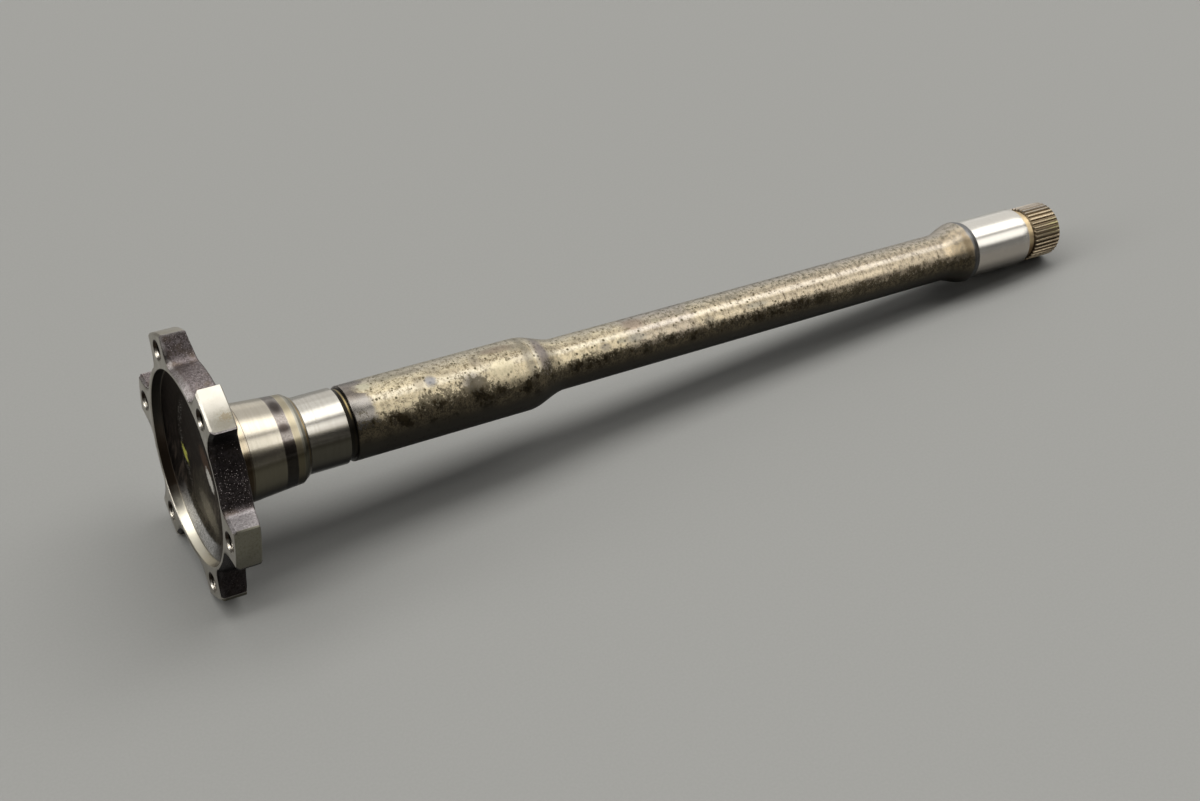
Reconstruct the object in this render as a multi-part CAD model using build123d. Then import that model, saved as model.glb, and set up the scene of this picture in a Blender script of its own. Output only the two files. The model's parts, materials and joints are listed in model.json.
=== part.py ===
from build123d import *

import os
from math import acos, asin, atan, cos, degrees, hypot, isclose, pi, radians, sin, tan

# Gearbox output shaft: a forged drive flange with six lobes, a hub, a ground bearing seat,
# a slim stem and a ground journal with a toothed end, all one piece of steel.
# Millimetres. The shaft is drawn along +X from the flange's front face, then laid down as it
# comes to rest: on two lobes of the flange and on the toothed end, with +Z up.

# Drive flange
bolt_circle_d = 94.0
bolt_count = 6
bolt_drill_d = 6.8          # core of an M8 thread
bolt_mouth_d = 9.0          # countersunk mouth of each hole
lobe_tip_reach = 7.0        # bolt circle to the turned tip of a lobe
lobe_cheek = 4.7            # metal beside a hole's mouth
lobe_root_fillet = 4.5
waist_land = 2.85           # metal between the recess and the hollow between two lobes
rim_thickness = 10.2        # along the shaft at a lobe's tip
flange_back_deg = 9.7       # slope of the forged back face
forged_edge_bevel = 1.3
tip_front_bevel = 0.8
tip_back_bevel = 0.5

# Recess in the flange's face
recess_land = 2.85          # metal between a hole's mouth and the recess
recess_wall = 4.1           # depth of the turned wall
recess_lip = 0.4
dish_drop = 2.7             # forged dish, deeper than the turned wall
dish_slope_width = 10.0

# Hub, which tapers towards its nose
hub_length = 22.1
hub_root_fillet = 4.5
hub_root_land = 0.5         # straight ring between the fillet and the taper
hub_taper_deg = 4.5
shoulder_height = 0.6       # step that the bearing's inner ring seats on
nose_bevel_length = 2.7
nose_bevel_height = 1.9

# Bearing seat and the groove behind it
seat_d = 32.0
seat_length = 17.5
seat_corner_fillet = 0.4    # where the seat meets the shoulder
groove_width = 3.0
groove_depth = 1.2
groove_bevel = 0.35

# Thick and slim lengths of the stem
thick_relief = 0.1          # the thick stem lies this much below the seat
thick_length = 81.0
step_down_length = 18.5
stem_d = 22.8
stem_length = 212.5
flare_length = 14.3

# Ground journal at the far end
journal_d = 28.4
journal_length = 33.4
journal_end_bevel = 0.6
collar_height = 0.7         # crest of the flare above the journal
collar_land = 0.5
collar_bevel_length = 2.6

# Toothed end
spline_teeth = 36
spline_module = 0.72
spline_pressure_deg = 30.0
spline_addendum = 0.55      # in modules
spline_dedendum = 0.65      # in modules
spline_length = 17.3
spline_lead_in = 0.7
spline_end_bevel = 1.1
neck_length = 4.3
neck_depth = 0.25           # below the roots of the teeth
centre_hole_d = 3.2
centre_mouth_d = 7.0
centre_hole_depth = 9.0
centre_cone_deg = 60.0

cut_margin = 3.0            # how far a cutting shape reaches past what it cuts

# Sizes worked out from the ones above
bolt_r = bolt_circle_d / 2
tip_r = bolt_r + lobe_tip_reach
lobe_width = bolt_mouth_d + 2 * lobe_cheek
recess_r = bolt_r - bolt_mouth_d / 2 - recess_land
waist_r = recess_r + waist_land
dish_floor_r = recess_r - dish_slope_width
dish_depth = recess_wall + dish_drop

seat_r = seat_d / 2
thick_r = seat_r - thick_relief
stem_r = stem_d / 2
journal_r = journal_d / 2
collar_r = journal_r + collar_height
nose_r = seat_r + shoulder_height + nose_bevel_height
hub_r = nose_r + hub_length * tan(radians(hub_taper_deg))

pitch_r = spline_module * spline_teeth / 2
tooth_tip_r = pitch_r + spline_addendum * spline_module
tooth_root_r = pitch_r - spline_dedendum * spline_module
neck_r = tooth_root_r - neck_depth

# Stations along the shaft
hub_start = rim_thickness + (tip_r - hub_r) * tan(radians(flange_back_deg))
hub_foot = hub_start + hub_root_fillet + hub_root_land
hub_end = hub_foot + hub_length
seat_start = hub_end + nose_bevel_length
seat_end = seat_start + seat_length
groove_end = seat_end + groove_width
thick_end = groove_end + thick_length
slim_start = thick_end + step_down_length
flare_start = slim_start + stem_length
flare_end = flare_start + flare_length
journal_start = flare_end + collar_land + collar_bevel_length
journal_end = journal_start + journal_length
teeth_start = journal_end + neck_length
shaft_end = teeth_start + spline_length


def nearest(corners, x, r):
    """The corner of a flat profile that lies nearest to a station and a radius."""
    return min(corners, key=lambda v: hypot(v.X - x, v.Y - r))


def spin(profile):
    """Turn a flat profile, drawn with X along the shaft and Y outwards, about the shaft."""
    return revolve(profile, axis=Axis.X, revolution_arc=360)


def turned_blank():
    """Flange disc, hub, seat, stem and journal as one turned profile, up to the neck."""
    with BuildSketch() as profile:
        with BuildLine():
            Polyline(
                (dish_depth, 0),
                (dish_depth, dish_floor_r),
                (recess_wall, recess_r),
                (recess_lip, recess_r),
                (0, recess_r + recess_lip),
                (0, tip_r - tip_front_bevel),
                (tip_front_bevel, tip_r),
                (rim_thickness - tip_back_bevel, tip_r),
                (rim_thickness, tip_r - tip_back_bevel),
                (hub_start, hub_r),
                (hub_foot, hub_r),
                (hub_end, nose_r),
                (seat_start, seat_r + shoulder_height),
                (seat_start, seat_r),
                (seat_end - groove_bevel, seat_r),
                (seat_end, seat_r - groove_bevel),
                (seat_end, seat_r - groove_depth),
                (groove_end, seat_r - groove_depth),
                (groove_end, thick_r - groove_bevel),
                (groove_end + groove_bevel, thick_r),
                (thick_end, thick_r),
            )
            Spline(
                (thick_end, thick_r),
                (slim_start, stem_r),
                tangents=((1, 0), (1, 0)),
            )
            Line((slim_start, stem_r), (flare_start, stem_r))
            Spline(
                (flare_start, stem_r),
                (flare_end, collar_r),
                tangents=((1, 0), (1, 0)),
            )
            Polyline(
                (flare_end, collar_r),
                (flare_end + collar_land, collar_r),
                (journal_start, journal_r),
                (journal_end - journal_end_bevel, journal_r),
                (journal_end, journal_r - journal_end_bevel),
                (journal_end, neck_r),
                (teeth_start, neck_r),
                (teeth_start, 0),
                (dish_depth, 0),
            )
        make_face()
        fillet(nearest(profile.vertices(), hub_start, hub_r), hub_root_fillet)
        fillet(nearest(profile.vertices(), dish_depth, dish_floor_r), dish_drop)
        fillet(nearest(profile.vertices(), seat_start, seat_r), seat_corner_fillet)
    return spin(profile.sketch)


def flange_outline():
    """Plan of the forged flange: a round waist with six straight-sided lobes."""
    lobe_length = tip_r + 2 * cut_margin
    with BuildSketch(Plane.YZ) as outline:
        Circle(waist_r)
        with PolarLocations(0, bolt_count, start_angle=180 / bolt_count - 90):
            Rectangle(lobe_length, lobe_width, align=(Align.MIN, Align.CENTER))
        roots = [v for v in outline.vertices() if isclose(hypot(v.X, v.Y), waist_r, rel_tol=1e-6)]
        fillet(roots, lobe_root_fillet)
    return outline.sketch


def hollows_between_lobes():
    """What the forging leaves open between the lobes, with the bevel along its front edge."""
    depth = hub_start
    lobes = extrude(flange_outline(), depth)
    front = lobes.faces().sort_by(Axis.X)[0]
    lobes = chamfer(front.edges(), forged_edge_bevel)
    ring = Pos(depth / 2, 0, 0) * Rot(0, 90, 0) * Cylinder(tip_r + cut_margin, depth)
    return ring - lobes


def bolt_hole():
    """Drilled core of one threaded hole with its countersunk mouth, on the shaft's axis."""
    drill_r = bolt_drill_d / 2
    mouth_r = bolt_mouth_d / 2
    with BuildSketch() as profile:
        Polygon(
            (0, 0),
            (0, mouth_r),
            (mouth_r - drill_r, drill_r),
            (hub_start, drill_r),
            (hub_start, 0),
            align=None,
        )
    return spin(profile.sketch)


def bolt_holes():
    """The holes on the bolt circle, one in each lobe."""
    turn = 360 / bolt_count
    hole = bolt_hole()
    return [Rot(turn * (i + 0.5), 0, 0) * Pos(0, 0, -bolt_r) * hole for i in range(bolt_count)]


def involute(angle):
    return tan(angle) - angle


def flank_point(radius, side, middle):
    """A point on one involute flank of the tooth whose middle lies at an angle."""
    base_r = pitch_r * cos(radians(spline_pressure_deg))
    half_tooth = pi / (2 * spline_teeth) + involute(radians(spline_pressure_deg))
    turn = middle + side * (half_tooth - involute(acos(base_r / radius)))
    return (radius * cos(turn), radius * sin(turn))


def tooth_outline():
    """Cross-section of the toothed end, tooth by tooth."""
    step = 2 * pi / spline_teeth
    with BuildSketch(Plane.YZ) as section:
        with BuildLine():
            for i in range(spline_teeth):
                middle = i * step
                gap = middle + step / 2
                rise = [flank_point(r, -1, middle) for r in (tooth_root_r, pitch_r, tooth_tip_r)]
                fall = [flank_point(r, 1, middle) for r in (tooth_tip_r, pitch_r, tooth_root_r)]
                tip = (tooth_tip_r * cos(middle), tooth_tip_r * sin(middle))
                root = (tooth_root_r * cos(gap), tooth_root_r * sin(gap))
                following = flank_point(tooth_root_r, -1, middle + step)
                ThreePointArc(*rise)
                ThreePointArc(rise[2], tip, fall[0])
                ThreePointArc(*fall)
                ThreePointArc(fall[2], root, following)
        make_face()
    return section.sketch


def toothed_end():
    """Involute teeth, turned down at both ends, with a lathe centre in the end face."""
    teeth = extrude(Pos(teeth_start, 0, 0) * tooth_outline(), spline_length)
    mouth_r = centre_mouth_d / 2
    hole_r = centre_hole_d / 2
    cone_length = (mouth_r - hole_r) / tan(radians(centre_cone_deg / 2))
    with BuildSketch() as blank:
        Polygon(
            (teeth_start, 0),
            (teeth_start, neck_r),
            (teeth_start + spline_lead_in, tooth_tip_r),
            (shaft_end - spline_end_bevel, tooth_tip_r),
            (shaft_end, tooth_tip_r - spline_end_bevel),
            (shaft_end, mouth_r),
            (shaft_end - cone_length, hole_r),
            (shaft_end - centre_hole_depth, hole_r),
            (shaft_end - centre_hole_depth, 0),
            align=None,
        )
    return teeth & spin(blank.sketch)


def resting_tilt():
    """Angle at which the axis falls towards the teeth when the shaft lies on a flat surface."""
    half_lobe = asin(lobe_width / 2 / tip_r)
    lobe_corner = tip_r * cos(pi / bolt_count - half_lobe)
    corner_x = rim_thickness - tip_back_bevel
    supports = (
        (flare_end + collar_land, collar_r),
        (journal_end - journal_end_bevel, journal_r),
        (shaft_end - spline_end_bevel, tooth_tip_r),
    )
    return degrees(min(atan((lobe_corner - r) / (x - corner_x)) for x, r in supports))


def lay_down(shaft):
    """Tilt the shaft as it rests and put the middle of its footprint at the origin."""
    tilted = Rot(0, resting_tilt(), 0) * shaft
    box = tilted.bounding_box()
    middle = box.center()
    return Pos(-middle.X, -middle.Y, -box.min.Z) * tilted


def output_shaft():
    shaft = turned_blank() - hollows_between_lobes()
    shaft = shaft - bolt_holes()
    shaft = shaft + toothed_end()
    return lay_down(shaft)


os.makedirs("parts", exist_ok=True)
export_step(output_shaft(), "parts/output_shaft.step")
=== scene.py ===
import json
from math import acos, asin, atan2, cos, degrees, hypot, pi, radians, sin, sqrt, tan

import bpy
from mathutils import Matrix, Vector, noise

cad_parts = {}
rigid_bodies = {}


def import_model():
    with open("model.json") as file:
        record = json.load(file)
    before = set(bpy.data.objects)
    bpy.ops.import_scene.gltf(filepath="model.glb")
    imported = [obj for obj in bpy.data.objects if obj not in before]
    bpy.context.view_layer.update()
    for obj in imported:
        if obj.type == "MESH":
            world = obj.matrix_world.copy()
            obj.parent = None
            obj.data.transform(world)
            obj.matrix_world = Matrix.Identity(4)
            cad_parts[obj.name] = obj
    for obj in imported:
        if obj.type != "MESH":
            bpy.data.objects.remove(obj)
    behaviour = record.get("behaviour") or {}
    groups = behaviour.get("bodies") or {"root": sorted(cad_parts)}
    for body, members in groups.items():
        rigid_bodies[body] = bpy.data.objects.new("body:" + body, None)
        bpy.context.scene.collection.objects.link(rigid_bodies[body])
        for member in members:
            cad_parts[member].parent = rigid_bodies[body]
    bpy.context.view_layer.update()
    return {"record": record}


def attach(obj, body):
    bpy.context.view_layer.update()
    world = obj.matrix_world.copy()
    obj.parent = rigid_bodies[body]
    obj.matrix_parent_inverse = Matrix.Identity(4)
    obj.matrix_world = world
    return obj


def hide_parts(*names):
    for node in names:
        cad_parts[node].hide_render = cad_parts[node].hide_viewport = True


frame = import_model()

# A gearbox output shaft at rest on two lobes of its flange and on its toothed end. Lengths in
# the shaft's own frame are millimetres: X runs along the shaft from the flange's front face,
# and an angle about the shaft starts at the top and grows towards the camera's side.
MM = 0.001
NAME = "output_shaft_finished"

mounts = {m["name"]: m for m in frame["record"]["mounts"]}
AXIS = Vector(mounts["bearing_seat"]["axis"]).normalized()
SIDE = Vector((0, 1, 0))
UP = AXIS.cross(SIDE)

# Flange
TIP_R = 54.0
BOLT_R = 47.0
LOBE_HALF = 9.2
LOBES = 6
WAIST_R = 42.5
ROOT_FILLET = 4.5
RIM_THICKNESS = 10.2
BACK_SLOPE = tan(radians(9.7))
BACK_BREAK = 0.9            # rounding between the rim and the back face
FORGED_BEVEL = 1.3
HOLLOW_BEVEL = 2.9          # the forged bevel is deeper in the hollows between the lobes
HOLLOW_FROM, HOLLOW_OVER = 17, 12   # columns from a tip's middle at which it grows
TIP_FRONT_BEVEL = 0.8
TIP_BACK_BEVEL = 0.5
RECESS_R = 39.65
RECESS_WALL = 4.1
RECESS_LIP = 0.4
WALL_LEAN = 0.45            # the recess's wall opens a little towards the front, low down
LEAN_FROM, LEAN_OVER = 0.35, 0.5    # how far down it starts, and over how much it grows
DISH_DEPTH = 6.8
DISH_FLOOR_R = 29.65
DISH_CORNER = 2.7
DISH_RINGS = (3.0, 9.0, 15.0, 20.0, 25.0)

# Stations and radii along the shaft
HUB_START, HUB_FOOT, HUB_END = 15.971, 20.971, 43.071
HUB_R, NOSE_R = 20.239, 18.5
HUB_ROOT_FILLET = 4.5
HUB_TAPER_START = 0.157     # how much the hub tapers in its first 2 mm
SHOULDER_R = 16.6
SEAT_START, SEAT_END, GROOVE_END = 45.771, 63.271, 66.271
SEAT_R, GROOVE_R, THICK_R = 16.0, 14.8, 15.9
SEAT_CORNER = 0.4
GROOVE_BEVEL = 0.35
THICK_END, SLIM_START = 147.271, 165.771
STEM_R = 11.4
FLARE_START, FLARE_END = 378.271, 392.571
COLLAR_R, COLLAR_LAND = 14.9, 0.5
JOURNAL_START, JOURNAL_END = 395.671, 429.071
JOURNAL_R, JOURNAL_BEVEL = 14.2, 0.6
JOURNAL_RINGS = (402.0, 413.0, 424.0)

# Toothed end
TEETH_START, SHAFT_END = 433.371, 450.671
NECK_R = 12.242
TEETH = 36
PITCH_R, TOOTH_TIP_R, TOOTH_ROOT_R = 12.96, 13.356, 12.492
PRESSURE = radians(30)
BASE_R = PITCH_R * cos(PRESSURE)
LEAD_IN, END_BEVEL = 0.7, 1.1
MOUTH_R, CENTRE_R, CENTRE_DEPTH, CENTRE_CONE = 3.5, 1.6, 9.0, 3.291

# Threaded holes: a thread's crest, flank and root as shares of its pitch
HOLE_MOUTH_R, THREAD_CORE_R, THREAD_ROOT_R, THREAD_PITCH = 4.5, 3.4, 4.0, 1.25
CREST_SHARE, FLANK_SHARE, ROOT_SHARE = 0.25, 0.3125, 0.125
PLUG_SIDES, PLUG_TURN_STEPS = 36, 8

# Forging marks, as the size of their lumps and how far they stand out, in mm
FLOOR_LUMP, FLOOR_ROUGH = 7, 0.10
SLOPE_LUMP, SLOPE_ROUGH = 6, 0.12
SIDE_LUMP, SIDE_ROUGH = 4.5, 0.16
BACK_LUMP, BACK_ROUGH = 6, 0.14
BEVEL_ROUGH, FILLET_ROUGH = 0.10, 0.06

recess = mounts["joint_recess"]
FACE = Vector(recess["pos_m"]) - AXIS * ((RECESS_LIP + RECESS_WALL) / 2 * MM)

# Materials by region, in the order in which the mesh takes them
FACE_STEEL, FORGED, DISH, GROUND, STEM, TOOTHED, THREAD, GROOVE = range(8)
TIP_OR_FLANK = -1           # FACE_STEEL or FORGED, settled once the mesh is there

PER_LOBE = 72
AROUND = PER_LOBE * LOBES
TIP_STEPS, FLANK_STEPS, ROOT_STEPS, WAIST_STEPS = 13, 7, 9, 7


def place(x, r, angle):
    """A point of the shaft in the row frame, in metres."""
    return FACE + (AXIS * x + UP * (r * cos(angle)) - SIDE * (r * sin(angle))) * MM


def mix(a, b, t):
    """The value a share t of the way from a to b."""
    return a + (b - a) * t


def eased(t):
    """0 to 1 with level ends, for t from 0 to 1 and held beyond."""
    t = min(1, max(0, t))
    return t * t * (3 - 2 * t)


# Flange outline
root_centre = (
    sqrt((WAIST_R + ROOT_FILLET) ** 2 - (LOBE_HALF + ROOT_FILLET) ** 2),
    LOBE_HALF + ROOT_FILLET,
)
root_centre_angle = atan2(root_centre[1], root_centre[0])


def half_lobe(side_inset, tip_inset):
    """Half of a lobe's outline, from its tip's middle to the middle of the next hollow, as flat
    (along, across) points drawn in at its sides and at its tip."""
    tip_r = TIP_R - tip_inset
    side = LOBE_HALF - side_inset
    corner = asin(side / tip_r)
    points = []
    for i in range(TIP_STEPS):
        a = corner * i / TIP_STEPS
        points.append((tip_r * cos(a), tip_r * sin(a)))
    start, end = tip_r * cos(corner), root_centre[0]
    for i in range(FLANK_STEPS):
        points.append((mix(start, end, i / FLANK_STEPS), side))
    fillet_r = ROOT_FILLET + side_inset
    for i in range(ROOT_STEPS):
        a = -pi / 2 - (pi / 2 - root_centre_angle) * i / ROOT_STEPS
        points.append((root_centre[0] + fillet_r * cos(a), root_centre[1] + fillet_r * sin(a)))
    waist_r = WAIST_R - side_inset
    for i in range(WAIST_STEPS + 1):
        a = root_centre_angle + (pi / LOBES - root_centre_angle) * i / WAIST_STEPS
        points.append((waist_r * cos(a), waist_r * sin(a)))
    return points


def outline(side_inset, tip_inset):
    """The flange's outline as (radius, angle) pairs, PER_LOBE of them for each lobe."""
    half = half_lobe(side_inset, tip_inset)
    lobe = [(p, -q) for p, q in reversed(half[1:])] + half[:-1]
    polar = [(hypot(p, q), atan2(q, p)) for p, q in lobe]
    middles = [2 * pi / LOBES * (k + 0.5) for k in range(LOBES)]
    return [(r, a + middle) for middle in middles for r, a in polar]


def steps_from_tip(j):
    """How many columns a column of the outline lies from the middle of its lobe's tip."""
    return abs(j % PER_LOBE - (PER_LOBE // 2 - 1))


def is_tip(j):
    """True where a column of the outline lies on a lobe's turned tip."""
    return steps_from_tip(j) <= TIP_STEPS


EDGE = outline(0, 0)
ANGLES = [EDGE[0][1] + 2 * pi * j / AROUND for j in range(AROUND)]


def lumps(x, r, angle, size, seed=0.0):
    """Smooth noise from -1 to 1 over the forged skin; size is the width of its lumps in mm."""
    p = Vector((x / size + seed, r * cos(angle) / size, r * sin(angle) / size))
    return noise.fractal(p, 0.9, 2.2, 3)


def skin(x, r, angle, amount, size=SIDE_LUMP):
    """A forged point after small shifts along the shaft and outwards."""
    return (
        x + amount * lumps(x, r, angle, size, 5.0),
        r + amount * lumps(x, r, angle, size, 17.0),
        angle,
    )


# Rings of points, from the middle of the recess round the flange and along the shaft
rings = []          # each is a list of (x, r, angle) for every column
ring_looks = []     # material of the band between this ring and the next


def ring(points, look):
    """Adds a ring of points, and the material from it to the next."""
    rings.append(points)
    ring_looks.append(look)


def circle(x, r, look):
    """Adds a round ring."""
    ring([(x, r, a) for a in ANGLES], look)


def rounded(points, radii, steps=2):
    """A flat polyline with arcs in place of its corners. radii has one value for each corner."""
    out = [points[0]]
    for k in range(1, len(points) - 1):
        p, rad = Vector(points[k]), radii[k - 1]
        a, b = Vector(points[k - 1]) - p, Vector(points[k + 1]) - p
        opening = a.angle(b)
        if rad <= 0 or opening > pi - 0.02:
            out.append(tuple(p))
            continue
        cut = rad / tan(opening / 2)
        cut = min(cut, a.length * 0.48, b.length * 0.48)
        rad = cut * tan(opening / 2)
        a.normalize()
        b.normalize()
        middle = p + (a + b).normalized() * (rad / sin(opening / 2))
        start, end = p + a * cut - middle, p + b * cut - middle
        turn = start.angle(end)
        for i in range(steps + 1):
            t = i / steps
            w0, w1 = sin((1 - t) * turn), sin(t * turn)
            out.append(tuple(middle + (start * w0 + end * w1) / sin(turn)))
    out.append(points[-1])
    return out


def ease(x0, r0, x1, r1, n):
    """Points of a smooth step between two radii, level at both ends."""
    return [(mix(x0, x1, i / n), mix(r0, r1, eased(i / n))) for i in range(n + 1)]


# Recess, from its middle outwards
for r in DISH_RINGS:
    ring([(DISH_DEPTH + FLOOR_ROUGH * lumps(0, r, a, FLOOR_LUMP), r, a) for a in ANGLES], DISH)
dish = rounded(
    [(DISH_DEPTH, 26.5), (DISH_DEPTH, DISH_FLOOR_R), (RECESS_WALL, RECESS_R)],
    [DISH_CORNER], 5)[1:-1]
slope_foot = dish[-1]
slope = [
    (mix(slope_foot[0], RECESS_WALL, t), mix(slope_foot[1], RECESS_R, t))
    for t in (0.25, 0.5, 0.75)]
for x, r in dish + slope:
    rough = SLOPE_ROUGH * min(1, (RECESS_R - r) / 3)
    ring([(x + rough * lumps(x, r, a, SLOPE_LUMP), r, a) for a in ANGLES], DISH)


def wall_lean(x, angle):
    """How far the recess's wall stands back at a station and an angle."""
    return WALL_LEAN * (1 - x / RECESS_WALL) * eased((-cos(angle) - LEAN_FROM) / LEAN_OVER)


wall = rounded(
    [(RECESS_WALL - 0.3, RECESS_R - 1.1), (RECESS_WALL, RECESS_R), (RECESS_LIP, RECESS_R),
     (0, RECESS_R + RECESS_LIP), (0, 42)],
    [0.25, 0.12, 0.12])[1:-1]
for x, r in wall:
    ring([(x, r + wall_lean(x, a), a) for a in ANGLES], FACE_STEEL)


def varied_outline(side_inset, tip_inset):
    """The outline with its side inset a little uneven along the forged sides."""
    base, exact = outline(0, tip_inset), outline(side_inset, tip_inset)
    out = []
    for j, (r, a) in enumerate(EDGE):
        if is_tip(j):
            out.append(exact[j])
            continue
        w = 1 + 0.22 * lumps(0, r, a, 5, 3.0) + 0.10 * lumps(0, r, a, 1.6, 9.0)
        out.append((mix(base[j][0], exact[j][0], w), mix(base[j][1], exact[j][1], w)))
    return out


def bevel_reach(j):
    """How deep the forged bevel runs: more in the hollows than beside the lobes' tips."""
    share = eased((steps_from_tip(j) - HOLLOW_FROM) / HOLLOW_OVER)
    reach = mix(FORGED_BEVEL, HOLLOW_BEVEL, share)
    return reach * (1 + 0.18 * lumps(0, EDGE[j][0], EDGE[j][1], 4, 6.0))


# Front face, from the recess to the lobes; the columns shift to the outline's own spacing
front = varied_outline(FORGED_BEVEL, TIP_FRONT_BEVEL)
rim = [RECESS_R + RECESS_LIP + 0.2 + wall_lean(0, a) for a in ANGLES]
ring([(0, r, a) for r, a in zip(rim, ANGLES)], FACE_STEEL)
for t in (0.35, 0.7):
    ring([
        (0, mix(rim[j], front[j][0], t * 0.96), mix(ANGLES[j], front[j][1], t))
        for j in range(AROUND)], FACE_STEEL)
ring([(0, r, a) for r, a in front], FORGED)

# Bevel round the front
half_way = varied_outline(FORGED_BEVEL - TIP_FRONT_BEVEL, 0)
ring([
    (TIP_FRONT_BEVEL if is_tip(j) else 0.58 * bevel_reach(j), r, a)
    for j, (r, a) in enumerate(half_way)], FORGED)
ring([
    (FORGED_BEVEL, *EDGE[j]) if is_tip(j) else skin(bevel_reach(j), *EDGE[j], BEVEL_ROUGH)
    for j in range(AROUND)], FORGED)


def back_x(r):
    """Station of the flange's sloped back face."""
    return RIM_THICKNESS + (TIP_R - r) * BACK_SLOPE


# Sides of the flange, the rounding behind them and the back face
for t in (0.06, 0.2, 0.35, 0.5, 0.65, 0.8, 0.93, 1.0):
    points = []
    for j, (r, a) in enumerate(EDGE):
        if is_tip(j):
            points.append((mix(FORGED_BEVEL, RIM_THICKNESS - TIP_BACK_BEVEL, t), r, a))
        else:
            x = mix(bevel_reach(j), back_x(r) - BACK_BREAK, t)
            points.append(skin(x, r, a, SIDE_ROUGH))
    ring(points, FORGED)
for t in (0.3, 0.65, 1.0):
    inset = BACK_BREAK * (1 - cos(t * pi / 2))
    rise = BACK_BREAK * (1 - sin(t * pi / 2))
    points = []
    for j, (r, a) in enumerate(outline(inset, TIP_BACK_BEVEL * t)):
        if is_tip(j):
            points.append((back_x(TIP_R) - TIP_BACK_BEVEL * (1 - t), r, a))
        else:
            points.append(skin(back_x(r) - rise, r, a, BACK_ROUGH))
    ring(points, FORGED)
back_edge = outline(BACK_BREAK, TIP_BACK_BEVEL)
back_profile = rounded(
    [(back_x(34), 34), (HUB_START, HUB_R), (HUB_FOOT, HUB_R),
     (HUB_FOOT + 2, HUB_R - HUB_TAPER_START)],
    [HUB_ROOT_FILLET, 0], 8)
fillet_start_r = back_profile[1][1]
for t in (0.12, 0.3, 0.5, 0.7, 0.87):
    points = []
    for j in range(AROUND):
        r = mix(back_edge[j][0], fillet_start_r, t)
        a = mix(back_edge[j][1], ANGLES[j], t)
        points.append(skin(back_x(r), r, a, BACK_ROUGH, BACK_LUMP))
    ring(points, FORGED)
for x, r in back_profile[1:5]:
    ring([skin(x, r, a, FILLET_ROUGH, BACK_LUMP) for a in ANGLES], FORGED)
for x, r in back_profile[5:-2]:
    circle(x, r, GROUND)

# Hub and seat
hub = rounded(
    [(HUB_FOOT, HUB_R), (HUB_END, NOSE_R), (SEAT_START, SHOULDER_R), (SEAT_START, SEAT_R),
     (SEAT_END - GROOVE_BEVEL, SEAT_R)],
    [0.5, 0.25, SEAT_CORNER])
for x, r in [(HUB_FOOT - 0.3, HUB_R)] + hub[:-1]:
    circle(x, r, GROUND)

# Groove
groove_profile = rounded(
    [(SEAT_START + 3, SEAT_R), (SEAT_END - GROOVE_BEVEL, SEAT_R),
     (SEAT_END, SEAT_R - GROOVE_BEVEL), (SEAT_END, GROOVE_R), (GROOVE_END, GROOVE_R),
     (GROOVE_END, THICK_R - GROOVE_BEVEL), (GROOVE_END + GROOVE_BEVEL, THICK_R),
     (GROOVE_END + 3, THICK_R)],
    [0.1, 0.1, 0.2, 0.2, 0.1, 0.1])
for x, r in groove_profile[1:-1]:
    if x < SEAT_END - 0.001:
        circle(x, r, GROUND)
    else:
        circle(x, r, GROOVE if x < GROOVE_END else STEM)

# Stem
stem_profile = (
    [(mix(GROOVE_END, THICK_END, t), THICK_R) for t in (0.06, 0.2, 0.4, 0.6, 0.8)]
    + ease(THICK_END, THICK_R, SLIM_START, STEM_R, 16)
    + [(mix(SLIM_START, FLARE_START, t / 8), STEM_R) for t in range(1, 8)]
    + ease(FLARE_START, STEM_R, FLARE_END, COLLAR_R, 14)
)
for x, r in stem_profile:
    circle(x, r, STEM)

# Collar, journal and neck
collar = rounded(
    [(FLARE_END, COLLAR_R), (FLARE_END + COLLAR_LAND, COLLAR_R), (JOURNAL_START, JOURNAL_R),
     (JOURNAL_END - JOURNAL_BEVEL, JOURNAL_R)],
    [0.3, 0.4])
for x, r in collar[1:-1]:
    circle(x, r, STEM if x < JOURNAL_START - 0.3 else GROUND)
for x in JOURNAL_RINGS:
    circle(x, JOURNAL_R, GROUND)
neck = rounded(
    [(JOURNAL_RINGS[-1], JOURNAL_R), (JOURNAL_END - JOURNAL_BEVEL, JOURNAL_R),
     (JOURNAL_END, JOURNAL_R - JOURNAL_BEVEL), (JOURNAL_END, NECK_R), (TEETH_START, NECK_R)],
    [0.2, 0.2, 0.25])
for x, r in neck[1:-1]:
    circle(x, r, GROUND if r > JOURNAL_R - JOURNAL_BEVEL - 0.15 else TOOTHED)


def involute(angle):
    """Involute function of a pressure angle."""
    return tan(angle) - angle


def half_tooth(r):
    """Half of a tooth's width at a radius, as an angle."""
    return pi / (2 * TEETH) + involute(PRESSURE) - involute(acos(BASE_R / r))


def tooth_columns():
    """(radius, angle) of every column round the toothed end, twelve for each tooth."""
    tip, root = half_tooth(TOOTH_TIP_R), half_tooth(TOOTH_ROOT_R)
    half = [(TOOTH_TIP_R, 0.0), (TOOTH_TIP_R, tip * 0.5), (TOOTH_TIP_R, tip)]
    half += [(PITCH_R, half_tooth(PITCH_R)), (TOOTH_ROOT_R, root)]
    half += [(TOOTH_ROOT_R, mix(root, pi / TEETH, 0.5)), (TOOTH_ROOT_R, pi / TEETH)]
    whole = [(r, -a) for r, a in reversed(half[1:])] + half[:-1]
    first = ANGLES[0] + pi / TEETH
    return [(r, first + 2 * pi / TEETH * k + a) for k in range(TEETH) for r, a in whole]


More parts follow.
